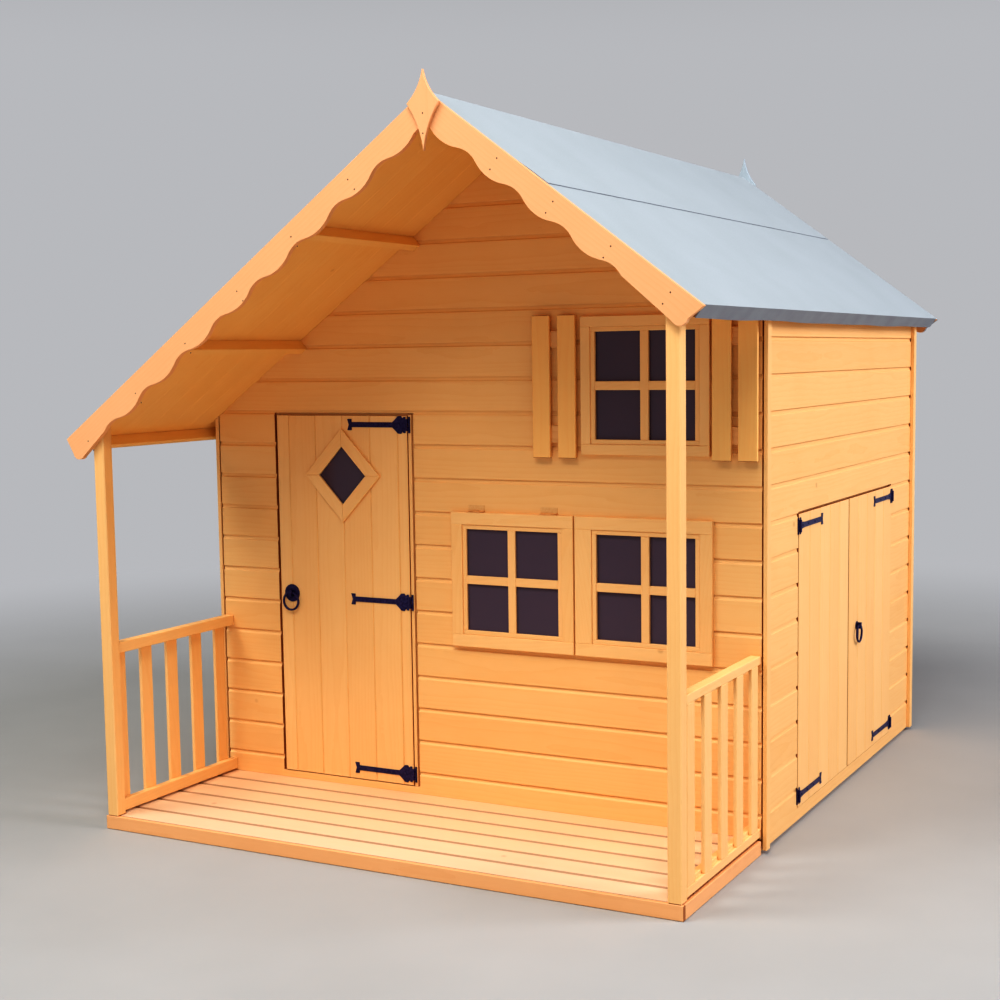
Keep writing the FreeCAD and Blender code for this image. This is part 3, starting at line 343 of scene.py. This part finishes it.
# Mineral felt: bitumen sheet with slate grit pressed into it, two widths lapped on each slope.
# The grit gives a matt, even blue grey; where the sheet turns down over the eave it is drawn darker as
# painted shade, and the right fold sags a little. Grit is under 1 mm and is drawn at 2 to 3 mm.
felt, tree = new_material("Mineral felt, blue grey slate grit")
where = add_node(tree, "ShaderNodeTexCoord").outputs["Object"]
outward = add_node(tree, "ShaderNodeNewGeometry").outputs["Normal"]
facing = add_node(tree, "ShaderNodeSeparateXYZ", {"Vector": outward})
grit = add_node(tree, "ShaderNodeTexNoise", {"Vector": where, "Scale": 420.0, "Detail": 3.0})
drift = add_node(tree, "ShaderNodeTexNoise", {"Vector": where, "Scale": 4.0, "Detail": 5.0})
both = add_node(tree, "ShaderNodeMath", {0: drift.outputs["Fac"], 1: 0.6, 2: grit.outputs["Fac"]},
                operation="MULTIPLY_ADD")
top = colour_ramp(tree, both.outputs[0], [(0.4, linear("#A6ADAE")), (1.1, linear("#AFB6B8"))])
# Painted shade: the turned down fold, which faces sideways and down, takes a darker grey.
fold_shade_mottle = add_node(tree, "ShaderNodeTexNoise", {"Vector": where, "Scale": 11.0, "Detail": 3.0})
turned = colour_ramp(tree, fold_shade_mottle.outputs["Fac"], [(0.3, linear("#8D8F94")), (0.7, linear("#969A9E"))])
painted_fold_shade = add_node(tree, "ShaderNodeMapRange", {"Value": facing.outputs["Z"], "From Min": 0.2,
                                                    "From Max": 0.5, "To Min": 1.0, "To Max": 0.0})
coat = add_node(tree, "ShaderNodeMix", {"Factor": painted_fold_shade.outputs[0], 6: top, 7: turned},
                data_type="RGBA")
relief = add_node(tree, "ShaderNodeBump", {"Height": grit.outputs["Fac"], "Strength": 0.6,
                                           "Distance": 0.8 * MM})
surface = add_node(tree, "ShaderNodeBsdfPrincipled", {"Base Color": coat.outputs[2], "Roughness": 0.85,
                                                      "Normal": relief.outputs[0]})
add_node(tree, "ShaderNodeOutputMaterial", {"Surface": surface.outputs[0]})
felt_step = 45 * MM                    # the sheet bends at this spacing along the eave
last_step = 20 * MM                    # no bend nearer to the rear edge
right_fold_low = 1630 * MM             # the right fold's lower corners are under this height
felt_sag = 4 * MM
sag_way = Vector((-0.6, 0, -0.8))      # down and in under the eave
for node in ["roof_felt_left", "roof_felt_right"]:
    sheet = bmesh.new()
    for faces in closed_solids(node):
        width = merged(faces)
        back = max(v.co.y for v in width.verts)
        y = min(v.co.y for v in width.verts) + felt_step
        while y < back - last_step:
            bmesh.ops.bisect_plane(width, geom=width.verts[:] + width.edges[:] + width.faces[:],
                                   plane_co=(0, y, 0), plane_no=(0, 1, 0))
            y += felt_step
        for vert in width.verts:
            if node == "roof_felt_right" and vert.co.z < right_fold_low:
                wander = 0.5 + noise.noise(Vector((vert.co.y * 3.1, 1, 0.4)))
                vert.co += sag_way * max(0, wander) * felt_sag
        copies = {vert: sheet.verts.new(vert.co) for vert in width.verts}
        for face in width.faces:
            sheet.faces.new([copies[v] for v in face.verts])
        width.free()
    mesh = bpy.data.meshes.new(node + "_sheet")
    sheet.to_mesh(mesh)
    sheet.free()
    mesh.materials.append(felt)
    placed(node + "_sheet", mesh, "house", [node])


def under_the_felt(face):
    """Top edges of the rear bargeboards and their ends at the eaves, which the felt is folded over."""
    eave_x = 1.02
    at_eave = abs(face.calc_center_median().x) > eave_x
    return face.normal.z > 0.3 or (at_eave and abs(face.normal.y) < 0.5)


dressed("bargeboards_rear", barge_wood, 1.5, sealed_ends=True, cover=(felt, under_the_felt))

# Window frames and shutters: flat members round four panes, crossed glazing bars, boards on battens.
# Planed softwood; the frames' joints are tight and stained over, so they show no dark end grain.
for node in ["window_low_frame", "window_up_frame", "casement_sash"]:
    dressed(node, trim_wood, 1.5, sealed_ends=True)
shutter_wood = stained_softwood("Planed shutter board, pale stain", "#FFCD84", "#FDC177", 9)
dressed("shutter_boards", shutter_wood, 1.5, ALONG_Z)
dressed("shutter_battens", sawn, 1.5, ALONG_X)

# Glazing: clear styrene sheet behind the frames. Against the unlit room it looks a flat near black, so it is
# drawn opaque in that tone, with the sheet's own gloss, and nothing behind it is seen through it.
pane, tree = new_material("Clear styrene sheet")
where = add_node(tree, "ShaderNodeTexCoord").outputs["Object"]
haze = add_node(tree, "ShaderNodeTexNoise", {"Vector": where, "Scale": 9.0, "Detail": 3.0})
gloss = add_node(tree, "ShaderNodeMapRange", {"Value": haze.outputs["Fac"], "To Min": 0.03, "To Max": 0.12})
surface = add_node(tree, "ShaderNodeBsdfPrincipled", {"Base Color": linear("#5C4E5B"),
                                                      "Roughness": gloss.outputs[0],
                                                      "Specular IOR Level": 0.4})
add_node(tree, "ShaderNodeOutputMaterial", {"Surface": surface.outputs[0]})
for node in ["window_low_glass", "window_up_glass", "casement_glass", "front_door_glass"]:
    frame["nodes"][node].data.materials.clear()
    frame["nodes"][node].data.materials.append(pane)

# Front door and store doors: upright planks on ledges, V jointed, with a mitred bead round the diamond.
# The bead and the strip that covers the hinge side of the opening are pinned on.
door_wood = stained_softwood("Planed door plank, orange stain", "#FBCD90", "#F5C080", 10, 0.18, "#EBB66C")
# The planks' outer sides are painted dark as painted shade in the gaps round each leaf; their dark eased
# edges are painted shade in the V joints.
for node in ["front_door_planks", "store_near_planks", "store_far_planks"]:
    dressed(node, door_wood, 0.8, ALONG_Z, painted_shade_sides="outer")
dressed("front_door_beading", trim_wood, 2.0, sealed_ends=True)
dressed("front_door_jamb", trim_wood, 1.0, ALONG_Z)

# Ironwork: tee hinges, roses, spindles and rings, cut and forged from strip and rod, then japanned.
# The lacquer is a deep blue black; its soft gloss shows as light lines on the worn edges.
iron, tree = new_material("Black japanned iron")
where = add_node(tree, "ShaderNodeTexCoord").outputs["Object"]
hammer = add_node(tree, "ShaderNodeTexNoise", {"Vector": where, "Scale": 160.0, "Detail": 2.0})
colour = colour_ramp(tree, hammer.outputs["Fac"], [(0.35, linear("#312B4A")), (0.7, linear("#454066"))])
relief = add_node(tree, "ShaderNodeBump", {"Height": hammer.outputs["Fac"], "Strength": 0.5,
                                           "Distance": 0.6 * MM})
surface = add_node(tree, "ShaderNodeBsdfPrincipled", {"Base Color": colour, "Roughness": 0.38,
                                                      "Specular IOR Level": 0.4,
                                                      "Specular Tint": linear("#B9B4F0"),
                                                      "Normal": relief.outputs[0]})
add_node(tree, "ShaderNodeOutputMaterial", {"Surface": surface.outputs[0]})


def forged(node, material, ease_mm):
    """Stands for an iron node: its solids with rounded edges and smooth curved faces."""
    whole = bmesh.new()
    filed_angle = math.radians(40)
    crease_angle = math.radians(32)
    for faces in closed_solids(node):
        piece = merged(faces)
        sharp = [e for e in piece.edges if e.calc_face_angle(0) > filed_angle]
        bmesh.ops.bevel(piece, geom=sharp, offset=ease_mm * MM, segments=2, affect="EDGES",
                        clamp_overlap=True)
        copies = {vert: whole.verts.new(vert.co) for vert in piece.verts}
        for face in piece.faces:
            whole.faces.new([copies[v] for v in face.verts]).smooth = True
        piece.free()
    whole.normal_update()
    for edge in whole.edges:
        edge.smooth = edge.calc_face_angle(0) < crease_angle
    mesh = bpy.data.meshes.new(node + "_metal")
    whole.to_mesh(mesh)
    whole.free()
    mesh.materials.append(material)
    return placed(node + "_metal", mesh, frame["nodes"][node]["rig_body"], [node])


for node in ["front_door_straps", "front_hinge_plates", "store_near_straps", "store_far_straps",
             "store_hinge_plates", "front_latch_rose", "front_latch_spindle", "front_ring",
             "store_latch_rose", "store_latch_spindle", "store_ring"]:
    forged(node, iron, 0.6)

# Casement hinges: two small flaps along the sash's top edge; the wall plate holds the pin.
# Rolled brass under a film of the same stain, so it hardly differs from the wood and shines a little.
brass, tree = new_material("Rolled brass, stained over")
where = add_node(tree, "ShaderNodeTexCoord").outputs["Object"]
tarnish = add_node(tree, "ShaderNodeTexNoise", {"Vector": where, "Scale": 240.0, "Detail": 3.0})
colour = colour_ramp(tree, tarnish.outputs["Fac"], [(0.3, linear("#EBAF6C")), (0.7, linear("#F6CB90"))])
gloss = add_node(tree, "ShaderNodeMapRange", {"Value": tarnish.outputs["Fac"], "To Min": 0.3, "To Max": 0.5})
surface = add_node(tree, "ShaderNodeBsdfPrincipled", {"Base Color": colour, "Roughness": gloss.outputs[0],
                                                      "Metallic": 0.35})
add_node(tree, "ShaderNodeOutputMaterial", {"Surface": surface.outputs[0]})
for node in ["casement_hinge_fixed", "casement_hinge_moving"]:
    forged(node, brass, 0.3)

# Fixings: blued wire nails in the bargeboards and finials, japanned round headed screws in the hinges.
# Geometry Nodes set one domed head on every point.
blued, tree = new_material("Blued wire nail, rusting")
where = add_node(tree, "ShaderNodeTexCoord").outputs["Object"]
rust = add_node(tree, "ShaderNodeTexNoise", {"Vector": where, "Scale": 300.0, "Detail": 2.0})
colour = colour_ramp(tree, rust.outputs["Fac"], [(0.35, linear("#5B3A26")), (0.7, linear("#7A5B48"))])
surface = add_node(tree, "ShaderNodeBsdfPrincipled", {"Base Color": colour, "Roughness": 0.55})
add_node(tree, "ShaderNodeOutputMaterial", {"Surface": surface.outputs[0]})


def head_tree(name, finish, seed):
    """Geometry Nodes tree: a domed head on every point, facing the point's way out, turned at random."""
    tree = bpy.data.node_groups.new(name, "GeometryNodeTree")
    sockets = {}
    for title, kind in [("Places", "NodeSocketGeometry"), ("Head width", "NodeSocketFloat"),
                        ("Head depth", "NodeSocketFloat")]:
        sockets[title] = tree.interface.new_socket(title, in_out="INPUT", socket_type=kind).identifier
    tree.interface.new_socket("Heads", in_out="OUTPUT", socket_type="NodeSocketGeometry")
    given = add_node(tree, "NodeGroupInput").outputs
    dome = add_node(tree, "GeometryNodeMeshUVSphere", {"Segments": 10, "Rings": 6, "Radius": 0.5})
    size = add_node(tree, "ShaderNodeCombineXYZ", {0: given["Head width"], 1: given["Head width"],
                                                   2: given["Head depth"]})
    out = add_node(tree, "GeometryNodeInputNamedAttribute", {"Name": "way_out"}, data_type="FLOAT_VECTOR")
    facing = add_node(tree, "FunctionNodeAlignRotationToVector", {"Vector": out.outputs["Attribute"]},
                      axis="Z")
    driven = add_node(tree, "FunctionNodeRandomValue", {"Seed": seed, 2: 0.0, 3: math.tau},
                      data_type="FLOAT")
    spin = add_node(tree, "ShaderNodeCombineXYZ", {2: driven.outputs[1]})
    turned = add_node(tree, "FunctionNodeRotateRotation", {0: facing.outputs[0], 1: spin.outputs[0]},
                      rotation_space="LOCAL")
    heads = add_node(tree, "GeometryNodeInstanceOnPoints", {"Points": given["Places"],
                                                            "Instance": dome.outputs["Mesh"],
                                                            "Rotation": turned.outputs[0],
                                                            "Scale": size.outputs[0]})
    smooth = add_node(tree, "GeometryNodeSetShadeSmooth", {"Geometry": heads.outputs[0]})
    real = add_node(tree, "GeometryNodeRealizeInstances", {"Geometry": smooth.outputs[0]})
    finished = add_node(tree, "GeometryNodeSetMaterial", {"Geometry": real.outputs[0], "Material": finish})
    add_node(tree, "NodeGroupOutput", {"Heads": finished.outputs[0]})
    return tree, sockets


def set_heads(name, places, recipe, width_mm, depth_mm, body):
    """One mesh of heads on a body, from (point, way out) places."""
    tree, sockets = recipe
    cloud = bpy.data.meshes.new(name + "_places")
    cloud.from_pydata([point for point, out in places], [], [])
    ways = cloud.attributes.new("way_out", "FLOAT_VECTOR", "POINT")
    for entry, (point, out) in zip(ways.data, places):
        entry.vector = out
    holder = bpy.data.objects.new(name + "_places", cloud)
    bpy.context.scene.collection.objects.link(holder)
    setting = holder.modifiers.new("Heads", "NODES")
    setting.node_group = tree
    setting[sockets["Head width"]] = width_mm * MM
    setting[sockets["Head depth"]] = depth_mm * MM
    mesh = bpy.data.meshes.new_from_object(holder.evaluated_get(bpy.context.evaluated_depsgraph_get()))
    bpy.data.objects.remove(holder)
    placed(name, mesh, body)


wire_nail = head_tree("Wire nail heads", blued, 3)
round_screw = head_tree("Round screw heads", iron, 7)
right_edge = reach("roof_felt_right", 0, max)
right_top = max(vert.co.z for vert in frame["nodes"]["roof_felt_right"].data.vertices
                if vert.co.x > right_edge - 0.1 * MM)
ridge_x = reach("roof_felt_left", 0, max)
roof_line = [(reach("roof_felt_left", 0, min), reach("roof_felt_left", 2, min)),
             (ridge_x, reach("roof_felt_left", 2, max)), (right_edge, right_top)]
nail_pitch = 290 * MM
nail_from_end = 90 * MM
nail_depths = [26 * MM, 62 * MM]       # two rows below the roof's edge
finial_nails = [2205 * MM, 2150 * MM]  # heights above the ground
nails = []
for (x0, z0), (x1, z1) in zip(roof_line, roof_line[1:]):
    low, high = sorted([Vector((x0, 0, z0)), Vector((x1, 0, z1))], key=lambda corner: corner.z)
    slope = (high - low).normalized()
    down = Vector((slope.z, 0, -slope.x)) * (1 if slope.x > 0 else -1)
    length = (high - low).length
    count = round(length / nail_pitch)
    for i in range(count):
        spot = low + slope * (nail_from_end + i * (length - 2 * nail_from_end) / count)
        for depth in nail_depths:
            for node, y, out in [("bargeboards_front", reach("bargeboards_front", 1, min), -1),
                                 ("bargeboards_rear", reach("bargeboards_rear", 1, max), 1)]:
                place = spot + down * depth
                nails.append((Vector((place.x, y, place.z)), (0, out, 0)))
for node, pick, out in [("finial_front", min, -1), ("finial_rear", max, 1)]:
    for z in finial_nails:
        nails.append((Vector((ridge_x, reach(node, 1, pick), z)), (0, out, 0)))
set_heads("bargeboard_nails", nails, wire_nail, 4.5, 1.6, "house")

strap_t = 3 * MM
screws_from_tip = [0.05, 0.36, 0.62, 0.86]       # shares of the strap's length, barrel at the far end
screws_from_barrel = [0.14, 0.38, 0.64, 0.95]
for node, body, axis, face in [("front_door_straps", "front_door", 0, Vector((0, -1, 0))),
                               ("store_near_straps", "store_door_near", 1, Vector((1, 0, 0))),
                               ("store_far_straps", "store_door_far", 1, Vector((1, 0, 0)))]:
    screws = []
    for faces in closed_solids(node):
        points = [Vector(point) for corners in faces for point in corners]
        near = min(p[axis] for p in points)
        far = max(p[axis] for p in points)
        z = (min(p.z for p in points) + max(p.z for p in points)) / 2
        seat = min(p.dot(face) for p in points) + strap_t
        barrel = max(points, key=lambda p: p.dot(face))[axis]
        for share in screws_from_tip if barrel > (near + far) / 2 else screws_from_barrel:
            point = face * seat + Vector((0, 0, z))
            point[axis] = near + (far - near) * share
            screws.append((point, face))
    set_heads(body + "_hinge_screws", screws, round_screw, 7.0, 3.0, body)

# Studio: a pale floor that runs out into a pale backdrop, and three soft lamps high round the front.
# The backdrop ends 30 degrees up, so the veranda's roof shades the wall as it does in the open.
BACKDROP = 0.36
FLOOR_RADIUS = 60
floor_mesh = bpy.data.meshes.new("studio_floor")
shape = bmesh.new()
bmesh.ops.create_circle(shape, cap_ends=True, segments=64, radius=FLOOR_RADIUS)
shape.to_mesh(floor_mesh)
shape.free()
paper, tree = new_material("Pale studio floor")
where = add_node(tree, "ShaderNodeTexCoord").outputs["Object"]
mottle = add_node(tree, "ShaderNodeTexNoise", {"Vector": where, "Scale": 1.5, "Detail": 4.0})
colour = colour_ramp(tree, mottle.outputs["Fac"], [(0.3, linear("#B0B0AD")), (0.7, linear("#B5B5B2"))])
away = add_node(tree, "ShaderNodeVectorMath", {0: where}, operation="LENGTH")
far = add_node(tree, "ShaderNodeMapRange", {"Value": away.outputs["Value"], "From Min": 2.0, "From Max": 6.5},
               interpolation_type="SMOOTHSTEP")
near_paper = add_node(tree, "ShaderNodeBsdfPrincipled", {"Base Color": colour, "Roughness": 0.8})
glow = add_node(tree, "ShaderNodeEmission", {"Color": linear("#FAFBFF"), "Strength": BACKDROP})
surface = add_node(tree, "ShaderNodeMixShader", {0: far.outputs[0], 1: near_paper.outputs[0],
                                                 2: glow.outputs[0]})
add_node(tree, "ShaderNodeOutputMaterial", {"Surface": surface.outputs[0]})
floor_mesh.materials.append(paper)
floor = bpy.data.objects.new("studio_floor", floor_mesh)
floor.location = (0, 0, -1 * MM)
bpy.context.scene.collection.objects.link(floor)

world = bpy.data.worlds.new("Studio")
bpy.context.scene.world = world
world.use_nodes = True
sky = world.node_tree
direction = add_node(sky, "ShaderNodeTexCoord").outputs["Generated"]
upward = add_node(sky, "ShaderNodeSeparateXYZ", {"Vector": direction})
fade_from, fade_to = math.sin(math.radians(10)), math.sin(math.radians(30))
backdrop = add_node(sky, "ShaderNodeMapRange", {"Value": upward.outputs["Z"], "From Min": fade_from,
                                                "From Max": fade_to, "To Min": BACKDROP, "To Max": 0.0},
                    interpolation_type="SMOOTHSTEP")
sky.nodes["Background"].inputs["Color"].default_value = linear("#FAFBFF")
sky.links.new(backdrop.outputs[0], sky.nodes["Background"].inputs["Strength"])


def soft_lamp(name, azimuth, elevation, power, colour):
    """Square area lamp aimed at the house; azimuth 0 is the front, 90 the right side."""
    middle_of_house = Vector((0, -0.2, 1.0))
    distance = 11
    lamp = bpy.data.lights.new(name, "AREA")
    lamp.size = 5.0
    lamp.energy = power
    lamp.color = linear(colour)[:3]
    holder = bpy.data.objects.new(name, lamp)
    az, el = math.radians(azimuth), math.radians(elevation)
    away = Vector((math.sin(az) * math.cos(el), -math.cos(az) * math.cos(el), math.sin(el)))
    holder.location = middle_of_house + away * distance
    holder.rotation_euler = (-away).to_track_quat("-Z", "Y").to_euler()
    bpy.context.scene.collection.objects.link(holder)


soft_lamp("left_lamp", -35, 50, 423, "#FFFFFF")
soft_lamp("front_lamp", 20, 50, 469, "#FFFFFF")
soft_lamp("right_lamp", 100, 30, 575, "#F2F3FF")

# Camera: the photograph's place and angle, solved from the lines of the house. The photograph's tones are
# steep, with deep shade and bright sunlit boards, and the view's contrast follows them.
camera_data = bpy.data.cameras.new("camera")
camera_data.lens = 57.56
camera_data.sensor_width = 36
camera_data.shift_x = 0.0017
camera_data.shift_y = 0.0217
camera = bpy.data.objects.new("camera", camera_data)
heading, dip, roll = 0.4895, 0.1028, -0.0143
turn = Matrix.Rotation(heading, 4, "Z") @ Matrix.Rotation(math.pi / 2 - dip, 4, "X")
camera.matrix_world = Matrix.Translation((2.5590, -5.1772, 1.5301)) @ turn @ Matrix.Rotation(roll, 4, "Z")
bpy.context.scene.collection.objects.link(camera)
bpy.context.scene.camera = camera
bpy.context.scene.view_settings.view_transform = "Standard"
bpy.context.scene.view_settings.look = "Very High Contrast"
